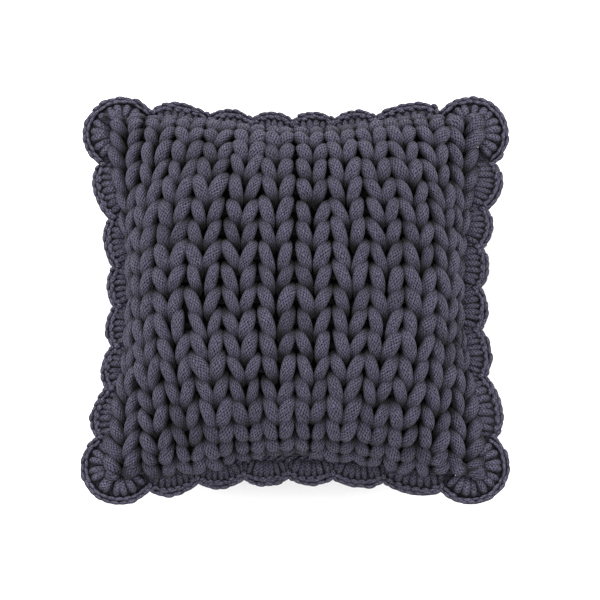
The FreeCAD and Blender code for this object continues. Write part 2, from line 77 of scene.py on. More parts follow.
def dome_axis(u, fullest, seam_mid):
    """Level position and height for one direction, out to the seam at u = 1."""
    size = np.minimum(np.abs(u), 1)
    level = np.interp(size, PROFILE_S, PROFILE_LEVEL / PROFILE_LEVEL.max()) * fullest
    at_seam = PROFILE_LEVEL[-1] / PROFILE_LEVEL.max() * fullest
    level = level + (seam_mid - at_seam) * size**6
    height = np.interp(size, PROFILE_S, PROFILE_HEIGHT)
    return np.sign(u) * level, height


def fan_out(share):
    """How far a column or row has left the middle's shape for the corner's."""
    near = np.minimum(np.abs(share) / FAN_END, 1)
    return near * near * (3 - 2 * near)


def front_surface(u, v):
    """The outside of the knit; u runs across and v up, both from -1 to 1."""
    x_mid, hu = dome_axis(u, FULLEST[0], SEAM_MID[0])
    y_mid, hv = dome_axis(v, FULLEST[1], SEAM_MID[1])
    fan_x, fan_y = fan_out(v), fan_out(u)
    crowd = CORNER_STRETCH * v**2
    x = (1 - fan_x) * x_mid + fan_x * KNIT_CORNER[0] * ((1 - crowd) * u + crowd * u**5)
    y_side = KNIT_CORNER[1] * (0.4 * v + 0.6 * y_mid / SEAM_MID[1])
    y = (1 - fan_y) * y_mid + fan_y * y_side + KNIT_SHIFT
    swell = hu * hv / np.maximum(hu + hv - hu * hv, 1e-6)
    z = SEAM_Z + SEAM_LIFT + (CROWN - SEAM_LIFT) * swell
    return np.stack([x, y, z], -1)


def surface_normal(surface, u, v, eps=0.004):
    """Unit normals of a surface, pointing out, from its slopes a little inside its rim."""
    u0, v0 = np.clip(u, -0.99, 0.99), np.clip(v, -0.99, 0.99)
    du = surface(u0 + eps, v0) - surface(u0 - eps, v0)
    dv = surface(u0, v0 + eps) - surface(u0, v0 - eps)
    normal = np.cross(du, dv)
    return normal / np.linalg.norm(normal, axis=-1, keepdims=True)


ARC_X = 2 * FULLEST[0] / PROFILE_LEVEL.max()  # the knit's width and height along itself
ARC_Y = 2 * FULLEST[1] / PROFILE_LEVEL.max()
WALE = ARC_X / WALES  # one stitch across


def smooth_noise(rng, shape, at_x, at_y):
    """Values that wander smoothly over a coarse random grid."""
    grid = rng.normal(size=shape)
    fx = np.clip(at_x, 0, shape[0] - 1.001)
    fy = np.clip(at_y, 0, shape[1] - 1.001)
    ix, iy = fx.astype(int), fy.astype(int)
    tx, ty = fx - ix, fy - iy
    tx, ty = tx * tx * (3 - 2 * tx), ty * ty * (3 - 2 * ty)
    low = grid[ix, iy] * (1 - tx) + grid[ix + 1, iy] * tx
    high = grid[ix, iy + 1] * (1 - tx) + grid[ix + 1, iy + 1] * tx
    return low * (1 - ty) + high * ty


def placed(name, data):
    """A new object in the scene, holding the mesh, lamp or camera."""
    thing = bpy.data.objects.new(name, data)
    bpy.context.scene.collection.objects.link(thing)
    return thing


def run_along(points):
    """Length of a line from its start to each of its points."""
    steps = np.linalg.norm(np.diff(points, axis=0), axis=1)
    return np.concatenate([[0], np.cumsum(steps)])


STRIP_SHAPE = 12  # length over width of a strip laid out flat


def tube_mesh(name, paths, sides, cuts=1):
    """One mesh of tubes. A path is (points, side vectors, up vectors, half widths,
    half thicknesses, length along the yarn, ripple of the section, painted shade). The painted
    shade goes into the point attribute 'shade'. It gets a map 'yarn' in metres along and turns
    round the yarn, and a map 'OFBake' laying it out flat, each tube cut into that many strips."""
    verts, faces, shades, yarn_uv, bake_uv = [], [], [], [], []
    base = 0
    turn = np.linspace(0, 2 * np.pi, sides, endpoint=False)
    strips = len(paths) * cuts
    columns = max(1, int(math.sqrt(strips / STRIP_SHAPE)))
    rows = math.ceil(strips / columns)
    for number, (points, side, up, wide, thick, along, ripple, shade) in enumerate(paths):
        count = len(points)
        ring = (
            points[:, None]
            + side[:, None] * (np.cos(turn)[None, :] * wide[:, None] * ripple)[..., None]
            + up[:, None] * (np.sin(turn)[None, :] * thick[:, None] * ripple)[..., None]
        )
        verts.append(ring.reshape(-1, 3))
        shades.append((np.reshape(shade, (count, -1)) * np.ones(sides)).ravel())
        i = np.arange(count - 1)[:, None]
        k = np.arange(sides)[None, :]
        here, k2 = i * sides, (k + 1) % sides
        quad = np.stack([here + k, here + k2, here + sides + k2, here + sides + k], -1)
        faces.append((quad + base).reshape(-1, 4))
        a0, a1 = along[:-1][:, None] + 0 * k, along[1:][:, None] + 0 * k
        r0, r1 = (k / sides) + 0 * i, ((k + 1) / sides) + 0 * i
        yarn_uv.append(np.stack([a0, r0, a0, r1, a1, r1, a1, r0], -1).reshape(-1, 2))
        length = math.ceil((count - 1) / cuts)
        strip = number * cuts + i // length
        col, row = strip % columns, strip // columns
        f0 = (i % length) / length
        left = (col + 0.01 + 0.98 * f0) / columns + 0 * k
        right = (col + 0.01 + 0.98 * (f0 + 1 / length)) / columns + 0 * k
        low, high = (row + 0.04 + 0.92 * r0) / rows, (row + 0.04 + 0.92 * r1) / rows
        flat = np.stack([left, low, left, high, right, high, right, low], -1)
        bake_uv.append(flat.reshape(-1, 2))
        base += count * sides
    mesh = bpy.data.meshes.new(name)
    coords = np.concatenate(verts)
    quads = np.concatenate(faces)
    mesh.vertices.add(len(coords))
    mesh.vertices.foreach_set("co", coords.astype(np.float32).ravel())
    mesh.loops.add(quads.size)
    mesh.loops.foreach_set("vertex_index", quads.astype(np.int32).ravel())
    mesh.polygons.add(len(quads))
    mesh.polygons.foreach_set("loop_start", np.arange(0, quads.size, 4, dtype=np.int32))
    mesh.update(calc_edges=True)
    shade = mesh.attributes.new("shade", "FLOAT", "POINT")
    shade.data.foreach_set("value", np.concatenate(shades).astype(np.float32))
    for uv_name, data in (("yarn", yarn_uv), ("OFBake", bake_uv)):
        layer = mesh.uv_layers.new(name=uv_name)
        layer.uv.foreach_set("vector", np.concatenate(data).astype(np.float32).ravel())
    mesh.polygons.foreach_set("use_smooth", np.ones(len(quads), bool))
    mesh.validate()
    return placed(name, mesh)


# One leg of a stitch, from the middle of the link below to the middle of the head above:
# share of the way, then metres sideways, up, out of the cloth and half width of the yarn.
# The upper half of the leg is the lower one turned about the middle.
LOWER_LEG = np.array((
    (0.00, -0.0095, -0.0205, -0.0145, 0.0038),
    (0.10, 0.0005, -0.0203, -0.0130, 0.0040),
    (0.20, 0.0050, -0.0180, -0.0085, 0.0044),
    (0.30, 0.0046, -0.0130, -0.0032, 0.0061),
    (0.40, 0.0025, -0.0068, -0.0004, 0.0073),
    (0.50, 0.0, 0.0, 0.0006, 0.0076),
))
LEG = np.concatenate([LOWER_LEG, LOWER_LEG[-2::-1] * (-1, -1, -1, 1, 1) + (1, 0, 0, 0, 0)])
LEGS = 2 * WALES
LEG_SAMPLES = 24
FABRIC_DEPTH = 0.0262  # outside of the legs to back of the heads
SEAM_MARGIN = 0.0165   # middle of the outer rows in from the seam
SEAM_GAP = 0.0010      # no yarn comes nearer to the seam than this
COURSE = (ARC_Y - 2 * SEAM_MARGIN) / (ROWS - 1)  # one row up
# How much the stitches wander: shares of their swing across, rise and half width, and
# metres across, up and out of the cloth.
WANDER = {"swing": 0.28, "across": 0.0016, "rise": 0.05, "up": 0.0018, "out": 0.0010,
          "width": 0.10}
EDGE_BAND = 0.06                         # share of the front that the seam flattens
EDGE_DEPTH = 0.30                        # share of its depth that the yarn keeps there
PAINTED_SHADE_DEPTH = 0.0040                       # this far under the legs the yarn is painted all dark: painted shade
EDGE_PAINTED_LIGHT, LEAST_PAINTED_LIGHT = 0.40, 0.02     # least painted light: on the yarn at the seam, and elsewhere
FLATNESS = 0.88                          # the yarn's thickness over its width
OVALNESS = 0.035                         # how far its section is from round
CREASE_DEPTH, CREASE_WIDTH = 0.20, 0.24  # of its radius, and radians round it


def relaxed(values, reach=2):
    """The same run of values with its corners rounded off."""
    kernel = np.hanning(2 * reach + 3)[1:-1]
    padded = np.pad(values, reach, mode="edge")
    return np.convolve(padded, kernel / kernel.sum(), "valid")


def leg_noise(layer, at_leg, at_row):
    """Smooth, repeatable wandering from leg to leg and row to row."""
    return smooth_noise(np.random.default_rng(100 + layer), (LEGS + 4, ROWS + 3), at_leg, at_row)


def row_of_stitches(row):
    """Centre line of one knitted row from seam to seam, with the cloth's normal, its half
    widths, the leg that each point is on and its painted shade: darker the deeper the yarn lies,
    lighter again at the seam."""
    step = np.arange(LEGS * LEG_SAMPLES + 1) / LEG_SAMPLES
    leg = np.minimum(step.astype(int), LEGS - 1)
    share = step - leg
    sideways, up, out, half = (np.interp(share, LEG[:, 0], LEG[:, k]) for k in range(1, 5))
    up = relaxed(up * np.where(leg % 2, -1, 1))
    wander = {
        name: size * leg_noise(layer, step, row + 0 * step)
        for layer, (name, size) in enumerate(WANDER.items())
    }
    x = (leg + 0.5) * WALE / 2 + sideways * (1 + wander["swing"]) + wander["across"]
    y = SEAM_MARGIN + row * COURSE + up * (1 + wander["rise"]) + wander["up"]
    out = relaxed(out) + wander["out"]
    half = relaxed(half) * (1 + wander["width"])
    x, y = relaxed(x), np.clip(y, SEAM_GAP, ARC_Y - SEAM_GAP)
    u = np.clip(2 * x / ARC_X - 1, -1, 1)
    v = 2 * y / ARC_Y - 1
    edge = np.clip((1 - np.maximum(np.abs(u), np.abs(v))) / EDGE_BAND, 0, 1)
    inset = (out - YARN_RADIUS) * (EDGE_DEPTH + (1 - EDGE_DEPTH) * edge)
    normal = surface_normal(front_surface, u, v)
    points = front_surface(u, v) + normal * inset[:, None]
    # Painted shade: darker the deeper the yarn lies under the legs, lighter again near the seam.
    light = np.clip(1.04 + out / PAINTED_SHADE_DEPTH, LEAST_PAINTED_LIGHT, 1)
    shade = np.maximum(light, EDGE_PAINTED_LIGHT * (1 - edge))
    return points, normal, half, leg, shade


def frame_along(points, normal):
    """Side and up vectors square to a path, up being nearest to the surface normal."""
    along = np.gradient(points, axis=0)
    along /= np.linalg.norm(along, axis=1, keepdims=True)
    side = np.cross(along, normal)
    side /= np.linalg.norm(side, axis=1, keepdims=True)
    up = np.cross(side, along)
    return side, up


def creased_section(leg, row, sides):
    """The yarn is soft: every leg is a little oval and some have a crease along them."""
    rng = np.random.default_rng(900 + row)
    turn = np.linspace(0, 2 * np.pi, sides, endpoint=False)[None, :]
    where = rng.uniform(0.9, 2.3, LEGS)[leg][:, None]
    deep = (rng.uniform(0, 1, LEGS) ** 3 * CREASE_DEPTH)[leg][:, None]
    phase = rng.uniform(0, 6.3, LEGS)[leg][:, None]
    crease = deep * np.exp(-(((turn - where) / CREASE_WIDTH) ** 2))
    ripple = 1 + OVALNESS * np.sin(3 * turn + phase) - crease
    for column in range(sides):
        ripple[:, column] = relaxed(ripple[:, column], 3)
    return ripple


def knit_rows(name, rows, sides=24):
    """A band of knitted rows. The flanks of the yarn, pressed on their neighbours, get painted
    shade.
    """
    turn = np.linspace(0, 2 * np.pi, sides, endpoint=False)
    # Painted shade round the yarn: dark on its flanks, light on top.
    flanks = 0.05 + 0.95 * np.minimum(np.abs(np.sin(turn)) / 0.7, 1) ** 1.2
    paths = []
    for row in rows:
        points, normal, half, leg, shade = row_of_stitches(row)
        side, up = frame_along(points, normal)
        section = creased_section(leg, row, sides)
        paths.append((points, side, up, half, half * FLATNESS, run_along(points), section,
                      shade[:, None] * flanks))
    return tube_mesh(name, paths, sides, cuts=3)


def socket(shader, **values):
    """Sets the shader's own sockets, with _ for a space in their names."""
    for name, value in values.items():
        shader.inputs[name.replace("_", " ")].default_value = value


def new_material(name):
    """A material with its node tree and its shader."""
    material = bpy.data.materials.new(name)
    material.use_nodes = True
    return material, material.node_tree, material.node_tree.nodes["Principled BSDF"]


def math_node(tree, kind, *values):
    """One step of arithmetic, on numbers and on other nodes' outputs."""
    node = tree.nodes.new("ShaderNodeMath")
    node.operation = kind
    for index, value in enumerate(values):
        if isinstance(value, (int, float)):
            node.inputs[index].default_value = value
        else:
            tree.links.new(value, node.inputs[index])
    return node.outputs[0]


def noise_node(tree, scale, detail=2.0, place="Object"):
    """Cloudy noise through the solid, with that many lumps to the metre (or, for
    'Generated', to the size of the piece)."""
    where = tree.nodes.new("ShaderNodeTexCoord")
    noise = tree.nodes.new("ShaderNodeTexNoise")
    socket(noise, Scale=scale, Detail=detail)
    tree.links.new(where.outputs[place], noise.inputs["Vector"])
    return noise.outputs["Fac"]


def range_node(tree, value, from_low, from_high, to_low, to_high):
    """The value brought from one range to another, and kept inside it."""
    node = tree.nodes.new("ShaderNodeMapRange")
    for name, limit in (("From Min", from_low), ("From Max", from_high),
                        ("To Min", to_low), ("To Max", to_high)):
        node.inputs[name].default_value = limit
    tree.links.new(value, node.inputs["Value"])
    return node.outputs[0]


def colour_by(tree, shader, colour, strength):
    """Gives the shader a colour that is lighter or darker with the strength."""
    mix = tree.nodes.new("ShaderNodeVectorMath")
    mix.operation = "SCALE"
    mix.inputs[0].default_value = colour
    tree.links.new(strength, mix.inputs["Scale"])
    tree.links.new(mix.outputs[0], shader.inputs["Base Color"])


def bump_node(tree, height, distance, strength=1.0, under=None):
    """Bumps as high as the distance in metres, on top of the bumps under them."""
    bump = tree.nodes.new("ShaderNodeBump")
    socket(bump, Distance=distance, Strength=strength)
    tree.links.new(height, bump.inputs["Height"])
    if under is not None:
        tree.links.new(under, bump.inputs["Normal"])
    return bump.outputs[0]


def yarn_material(name, colour, stitch_mm, around, pits):
    """Thick yarn that is a fine knitted tube: rows of tiny V stitches along it, pushed about
    by its fuzz and lumps, with painted shade in their pits and painted light on their crests,
    slow changes of tone from dyeing, and the painted shade from the attribute 'shade'."""
    material, tree, shader = new_material(name)
    fuzz = noise_node(tree, 620.0, 3.0)
    lumps = noise_node(tree, 150.0)
    dye = noise_node(tree, 14.0)

    yarn_map = tree.nodes.new("ShaderNodeUVMap")
    yarn_map.uv_map = "yarn"
    split = tree.nodes.new("ShaderNodeSeparateXYZ")
    tree.links.new(yarn_map.outputs[0], split.inputs[0])
    column = math_node(tree, "MULTIPLY", split.outputs[1], math.pi * around)
    column = math_node(tree, "ADD", column, math_node(tree, "MULTIPLY", fuzz, 3.6))
    slant = math_node(tree, "MULTIPLY", math_node(tree, "COSINE", column), 0.9)
    along = math_node(tree, "MULTIPLY", split.outputs[0], math.pi / (stitch_mm * 0.001))
    along = math_node(tree, "ADD", along, math_node(tree, "MULTIPLY", lumps, 5.0))
    along = math_node(tree, "ADD", along, math_node(tree, "MULTIPLY", fuzz, -4.2))
    rise = math_node(tree, "SINE", math_node(tree, "ADD", along, slant))
    height = math_node(tree, "MULTIPLY", rise, math_node(tree, "SINE", column))

    # Painted shade in the pits of the tiny stitches and painted light on their crests.
    pit_shade = range_node(tree, height, -0.8, 0.2, 1.05 - pits, 1.05 + 0.25 * pits)
    tone = math_node(tree, "ADD", math_node(tree, "MULTIPLY", dye, 0.30), 0.85)
    grain = math_node(tree, "ADD", math_node(tree, "MULTIPLY", fuzz, 2.8), -0.40)
    # The painted shade that the tubes carry in their attribute 'shade'.
    painted_shade_node = tree.nodes.new("ShaderNodeAttribute")
    painted_shade_node.attribute_name = "shade"
    tone = math_node(tree, "MULTIPLY", tone, painted_shade_node.outputs["Fac"])
    pit_shaded = math_node(tree, "MULTIPLY", pit_shade, tone)
    colour_by(tree, shader, colour, math_node(tree, "MULTIPLY", pit_shaded, grain))

    stitches = bump_node(tree, height, 0.0007, 0.9)
    lumpy = bump_node(tree, lumps, 0.0022, 0.92, under=stitches)
    tree.links.new(lumpy, shader.inputs["Normal"])
    socket(shader, Roughness=0.95, Sheen_Weight=0.03, Sheen_Roughness=0.5,
           Specular_IOR_Level=0.15)
    return material


KNIT_YARN = yarn_material("knit_yarn", (0.0385, 0.0354, 0.0562), stitch_mm=2.1, around=26,
                          pits=1.35)
ROWS_PER_BAND = 4
for first in range(0, ROWS, ROWS_PER_BAND):
    rows = range(first, min(first + ROWS_PER_BAND, ROWS))
    band = knit_rows(f"knit_rows_{first + 1}_{rows[-1] + 1}", rows)
    band.data.materials.append(KNIT_YARN)
    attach(band, "root")
    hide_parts("knit_panel")

# -------------------- Crocheted edging
# Crocheted straight onto the seam in finer yarn: six shells a side and a wide ear at each
# corner, every one a fan of treble posts, closed by a round of chain stitches that dips to a
# knot between shells. Flat yarn in painted shade, lying underneath, fills what would be holes
# between them.
SHELL_TIP, SHELL_CUSP = 0.0235, 0.0140  # posts' outer line, mid-shell and between shells
# Where the shells of each side meet, listed one by one, so no two are quite the same width
# (metres from the middle of the side, going anticlockwise round the pillow seen from the front).
SHELL_ENDS = {
    "bottom": (-0.1580, -0.1050, -0.0556, -0.0064, 0.0407, 0.0963, 0.1590),
    "right": (-0.1550, -0.0870, -0.0343, 0.0133, 0.0598, 0.1040, 0.1560),
    "top": (-0.1570, -0.0890, -0.0430, 0.0040, 0.0480, 0.0940, 0.1560),
    "left": (-0.1550, -0.0930, -0.0376, 0.0077, 0.0530, 0.1007, 0.1560),
}
# How much further out than that each side's shells stand.
SHELL_REACH = {"bottom": -0.002, "right": 0.0015, "top": 0.003, "left": -0.0035}
# The shells grow towards the corners: by what share at GROWTH_SPAN, and to what power.
SHELL_GROWTH = {"bottom": (0.28, 3), "right": (0.40, 2.2), "top": (0.28, 3), "left": (0.40, 2.2)}
GROWTH_SPAN = 0.153
WIDE_SHELL = 0.0245                    # half width from which a shell has 7 posts
POST_HALF = 0.0035                     # half width of a post in such a shell
GROOVE_WIDTH = 0.36                    # of the groove along a post, radians round it
FOOT_SPREAD, TIP_SPREAD = 0.58, 0.97   # shares of a shell that feet and tips span
FOOT_IN, TIP_SHARE = 0.0035, 0.93      # feet inside the seam, tips near the outline
HEAD_LONG, HEAD_HALF = 0.0044, 0.0024  # half length and half width of a stitch head
KNOT_HALF, DIP_HALF = 0.0029, 0.0027   # half widths of the knots, under and in the chain
CHAIN_OUT = 0.0034                     # middle of the chain beyond the posts' ends
CHAIN_PITCH, CHAIN_HALF = 0.0092, 0.0020
WEB_HALF = 0.0040  # flat yarn in painted shade under the heads and the chain
SIDE_NAMES = ("bottom", "right", "top", "left")


def along_seam(side, along, out):
    """A place on a side: metres along it from its middle and metres outside the seam."""
    run, across = (0, 1) if side % 2 == 0 else (1, 0)
    half, rise = SEAM_CORNER[run], SEAM_PULL[across]
    middle = SEAM_CORNER[across] - rise
    radius = (half**2 + rise**2) / (2 * rise)
    angle = np.asarray(along) / radius
    a = (radius - out) * np.sin(angle)
    o = middle + radius - (radius - out) * np.cos(angle)
    return ((a, -o), (o, a), (-a, o), (-o, -a))[side]


def strand(points, half, flatten=0.9, groove=0.0, sides=12, shade=1.0):
    """A tube path through the points, whose half width is given at each of them. A groove
    runs along its top and bottom, and its flanks and the groove get painted shade, on top of
    the painted shade passed in."""
    points = np.asarray(points, float)
    side, lift = frame_along(points, np.broadcast_to(np.array((0, 0, 1.0)), points.shape))
    turn = np.linspace(0, 2 * np.pi, sides, endpoint=False)
    dip = sum(np.exp(-(((turn - at) / GROOVE_WIDTH) ** 2)) for at in (np.pi / 2, 1.5 * np.pi))
    ripple = np.broadcast_to(1 - groove * dip, (len(points), sides))
    half = np.asarray(half, float)
    steepness = 2.1 if groove else 1.3
    # Painted shade on the flanks and in the groove, times the painted shade passed in.
    flanks = (0.04 + 0.98 * np.abs(np.sin(turn)) ** steepness) * (1 - 1.6 * groove * dip)
    shade = (shade * np.ones(len(points)))[:, None] * flanks
    return points, side, lift, half, half * flatten, run_along(points), ripple, shade


def spindle(start, end, half, rng, fullest=0.6, groove=0.0, sides=10, bow=0.001):
    """One post, link or head between two points: slim where it starts, full and round
    towards its end, with painted shade at both tips where it dives under its neighbours."""
    q = np.linspace(0, 1, 13)
    start, end = np.asarray(start, float), np.asarray(end, float)
    points = start + (end - start) * q[:, None]
    points[:, 2] += bow * np.sin(np.pi * q)
    across = np.cross(end - start, (0, 0, 1.0))
    waver = rng.normal() * 0.0006 * np.sin(np.pi * q)
    points += across / np.linalg.norm(across) * waver[:, None]
    peak = np.where(q < fullest, 0.5 * q / fullest, 0.5 + 0.5 * (q - fullest) / (1 - fullest))
    swell = np.clip(np.sin(np.pi * peak), 0, 1) ** 0.55
    # Painted shade, darkest at both tips.
    shade = 0.12 + 0.90 * np.clip(np.sin(np.pi * q), 0, 1) ** 0.5
    return strand(points, half * swell + 0.00015, 1.05, groove, sides, shade)


def raised(place, height):
    """A place on the plan brought to a height above the seam."""
    return np.array([place[0], place[1], SEAM_Z + height])


def piece_of_yarn(name, paths, sides, replaced):
    """A piece of crochet, standing for one CAD node."""
    piece = tube_mesh(name, paths, sides)
    piece.data.materials.append(CROCHET_YARN)
    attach(piece, "root")
    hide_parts(replaced)


def chain_of_links(curve, rng):
    """A round of chain stitches along a curve: two rows of slim leaves laid like a plait."""
    curve = np.asarray(curve)
    run = run_along(curve)
    at = lambda d: np.array([np.interp(d, run, curve[:, 0]), np.interp(d, run, curve[:, 1])])
    links = max(2, round(run[-1] / CHAIN_PITCH))
    step = run[-1] / links
    paths = []
    for link in range(links):
        for hand in (-1, 1):
            first = np.clip((link - 0.22 + 0.25 * hand) * step, 0, run[-1])
            last = np.clip((link + 1.22 + 0.25 * hand) * step, 0, run[-1])
            way = at(last) - at(first)
            across = np.array((-way[1], way[0])) / max(np.linalg.norm(way), 1e-6)
            low = raised(at(first) + across * hand * 0.0013, rng.normal(0, 0.0004) - 0.0012)
            high = raised(at(last) + across * hand * 0.0025, rng.normal(0, 0.0004) + 0.0012)
            width = CHAIN_HALF * (1 + rng.normal(0, 0.10))
            paths.append(spindle(low, high, width, rng, fullest=0.55))
    return paths


def painted_shade_web(curve, half):
    """Flat yarn lying under the stitches, in painted shade for the little light that gets to it."""
    points = np.array([raised(place, -0.0028) for place in curve])
    # Painted shade: the flat yarn is kept dark.
    return strand(points, np.full(len(points), half), flatten=0.35, sides=10, shade=0.22)


CROCHET_YARN = yarn_material("crochet_yarn", (0.064, 0.0595, 0.0910), stitch_mm=1.6, around=10,
                             pits=0.9)

for side, side_name in enumerate(SIDE_NAMES):
    rng = np.random.default_rng(40 + side)
    fan, heads, chain = [], [], []
    reach = SHELL_REACH[side_name]
    most, power = SHELL_GROWTH[side_name]
    grow = lambda at: 1 + most * abs(at / GROWTH_SPAN) ** power
    ends = SHELL_ENDS[side_name]
    for left, right in zip(ends[:-1], ends[1:]):
        middle, half = (left + right) / 2, (right - left) / 2
        line = lambda share: reach + grow(middle + half * share) * (
            SHELL_CUSP + (SHELL_TIP - SHELL_CUSP) * (1 - share**2) ** 0.7
        )
        posts = 6 if half < WIDE_SHELL else 7
        for share in np.linspace(-0.84, 0.84, posts):
            base = along_seam(side, middle + half * share * FOOT_SPREAD, -FOOT_IN)
            end = along_seam(side, middle + half * share * TIP_SPREAD, line(share) * TIP_SHARE)
            width = POST_HALF * half / WIDE_SHELL * 6.5 / posts * (1 + rng.normal(0, 0.08))
            lift = rng.normal(0, 0.0007)
            fan.append(spindle(raised(base, lift - 0.002), raised(end, lift + 0.001), width, rng,
                               fullest=0.64, groove=0.22, sides=14, bow=0.0026))
        for share in np.linspace(-0.80, 0.80, posts - 1):
            start = along_seam(side, middle + half * share - HEAD_LONG, line(share) - 0.0012)
            end = along_seam(side, middle + half * share + HEAD_LONG, line(share) - 0.0004)
            heads.append(spindle(raised(start, -0.0010), raised(end, 0.0004), HEAD_HALF, rng,
                                 fullest=0.5))
        w = np.linspace(-1, 1, 25)
        outline = np.array([line(share) + CHAIN_OUT for share in w * 0.999])
        chain += chain_of_links(np.stack(along_seam(side, middle + half * w, outline), -1), rng)
        # Flat yarn in painted shade under the posts and under the heads.
        under_posts = [along_seam(side, middle + half * share, line(share) * 0.5) for share in w]
        heads.append(painted_shade_web(under_posts, np.array([line(share) for share in w]) * 0.53))
        under_heads = [along_seam(side, middle + half * share, line(share) + 0.0014) for share in w]
        heads.append(painted_shade_web(under_heads, WEB_HALF))
        for hand in (-1, 1):
            knot = middle + hand * half
            cusp = line(hand * 0.999)
            foot = raised(along_seam(side, knot - hand * 0.0030, -0.002), -0.001)
            tip = raised(along_seam(side, knot - hand * 0.0020, cusp), 0.0)
            fan.append(spindle(foot, tip, KNOT_HALF, rng, groove=0.25, sides=14))
            foot = raised(along_seam(side, knot, cusp - 0.002), 0.0005)
            tip = raised(along_seam(side, knot, cusp + 0.0052), 0.0008)
            chain.append(spindle(foot, tip, DIP_HALF, rng))
    for hand in (-1, 1):
        under_ear = [along_seam(side, hand * at, 0.0085) for at in np.linspace(0.140, 0.172, 8)]
        heads.append(painted_shade_web(under_ear, 0.0115))
    piece_of_yarn(f"shell_posts_{side_name}", fan, 14, f"border_shells_{side_name}")
    piece_of_yarn(f"shell_heads_{side_name}", heads, 10, f"border_shells_{side_name}")
    piece_of_yarn(f"chain_round_{side_name}", chain, 10, f"border_chain_{side_name}")

# The ears at the corners: eleven posts each, fanned a little past a half circle, with flat
# yarn in painted shade lying under them and the same chain stitches round them.
EAR_CENTRES = {
    "top_right": (0.1895, 0.1855), "top_left": (-0.1875, 0.1850),
    "bottom_left": (-0.1875, -0.1845), "bottom_right": (0.1875, -0.1845),
}
EAR_POSTS = 0.0350                  # radius to the ends of the posts
EAR_FEET, EAR_HALF = 0.010, 0.0043  # radius to their feet, and their half width
EAR_TURN, EAR_SWEEP = 94, 102       # degrees to the last post, to the chain's end
for corner, (corner_name, centre) in enumerate(EAR_CENTRES.items()):
    rng = np.random.default_rng(60 + corner)
    facing = math.atan2(math.copysign(1, centre[1]), math.copysign(1, centre[0]))
    ray = lambda angle, far: np.array(centre) + far * np.array(
        (math.cos(facing + angle), math.sin(facing + angle))
    )
    fan, heads = [], []
    for angle in np.radians(np.linspace(-EAR_TURN, EAR_TURN, 11)):
        angle += rng.normal(0, 0.035)
        lift = rng.normal(0, 0.0008)
        width = EAR_HALF * (1 + rng.normal(0, 0.08))
        foot = raised(ray(angle, EAR_FEET), lift - 0.001)
        tip = raised(ray(angle, EAR_POSTS - 0.0015), lift)
        fan.append(spindle(foot, tip, width, rng, fullest=0.72, groove=0.16, sides=14, bow=0.0030))
    sweep = np.radians(np.linspace(-EAR_SWEEP, EAR_SWEEP, 54))
    heads.append(painted_shade_web([ray(angle, 0.022) for angle in sweep], 0.0125))
    heads.append(painted_shade_web([ray(angle, EAR_POSTS + 0.0016) for angle in sweep], WEB_HALF))
    piece_of_yarn(f"corner_posts_{corner_name}", fan, 14, f"border_corner_{corner_name}")
    piece_of_yarn(f"corner_heads_{corner_name}", heads, 10, f"border_corner_{corner_name}")
    arc = [ray(angle, EAR_POSTS + 0.0036) for angle in sweep]
    piece_of_yarn(f"corner_chain_{corner_name}", chain_of_links(arc, rng), 10,
                  f"border_corner_chain_{corner_name}")

# The foundation round, under the feet of all the posts: two cords side by side along each
# side's seam, each of two plies of the same yarn twisted together.
TWIST_LENGTH = 0.021  # one full turn of the plies
PLY_ACROSS, PLY_HIGH, PLY_HALF = 0.0026, 0.0024, 0.0029
foundation = []
for side in range(4):
    span = SEAM_CORNER[side % 2] + 0.003
    for offset in (-0.0010, -0.0085):
        run = np.arange(-span, span, 0.0022)
        for phase in (0, math.pi):
            twist = run / TWIST_LENGTH * 2 * math.pi + phase
            x, y = along_seam(side, run, offset + PLY_ACROSS * np.cos(twist))
            z = SEAM_Z - 0.0020 + PLY_HIGH * np.sin(twist)
            ply = np.stack([x, y, z], -1)
            foundation.append(strand(ply, np.full(len(run), PLY_HALF), flatten=0.95))
piece_of_yarn("foundation_round", foundation, 12, "border_base_round")

# -------------------- Lining under the knit
# Dark plain cloth drawn tight over the insert and caught in the same seam as the knit, so
# that the white insert doesn't show through the gaps between the stitches. A real lining, its
# near-black colour is painted shade, as dark as the deep shade in those gaps.
LINING_CROWN = CROWN - FABRIC_DEPTH - 0.0015  # just clear of the backs of the stitches
LINING_FULLEST = FULLEST - 0.0255
LINING_LIFT = 0.0035  # its rim above the seam
LINING_INSET = 0.004  # its rim in from the seam, middle of a side
LINING_CORNER = SEAM_CORNER - 0.006
LINING_FAN = 5  # power: only its very rim follows the corners
LINING_THICK = 0.0012


def lining_surface(u, v):
    """The outside of the lining; u runs across and v up, both from -1 to 1."""
    x_mid, hu = dome_axis(u, LINING_FULLEST[0], SEAM_MID[0] - LINING_INSET)
    y_mid, hv = dome_axis(v, LINING_FULLEST[1], SEAM_MID[1] - LINING_INSET)
    fan_x, fan_y = np.abs(v) ** LINING_FAN, np.abs(u) ** LINING_FAN
    x = (1 - fan_x) * x_mid + fan_x * LINING_CORNER[0] * u
    y = (1 - fan_y) * y_mid + fan_y * LINING_CORNER[1] * v
    swell = hu * hv / np.maximum(hu + hv - hu * hv, 1e-6)
    z = SEAM_Z + LINING_LIFT + (LINING_CROWN - LINING_LIFT) * swell
    return np.stack([x, y, z], -1)


def sheet_mesh(name, outer, inner):
    """A closed thin sheet between two grids of points of the same shape."""
    rows, columns = outer.shape[:2]
    index = np.arange(rows * columns).reshape(rows, columns)
    corners = (index[:-1, :-1], index[1:, :-1], index[1:, 1:], index[:-1, 1:])
    top = np.stack(corners, -1).reshape(-1, 4)
    lower = rows * columns
    bottom = top[:, ::-1] + lower
    rim = np.concatenate([index[0], index[1:, -1], index[-1, -2::-1], index[-2:0:-1, 0]])
    following = np.roll(rim, -1)
    wall = np.stack([rim, following, following + lower, rim + lower], -1)
    mesh = bpy.data.meshes.new(name)
    coords = np.concatenate([outer.reshape(-1, 3), inner.reshape(-1, 3)])
    mesh.from_pydata(coords.tolist(), [], np.concatenate([top, bottom, wall]).tolist())
    mesh.polygons.foreach_set("use_smooth", np.ones(len(mesh.polygons), bool))
    return placed(name, mesh)


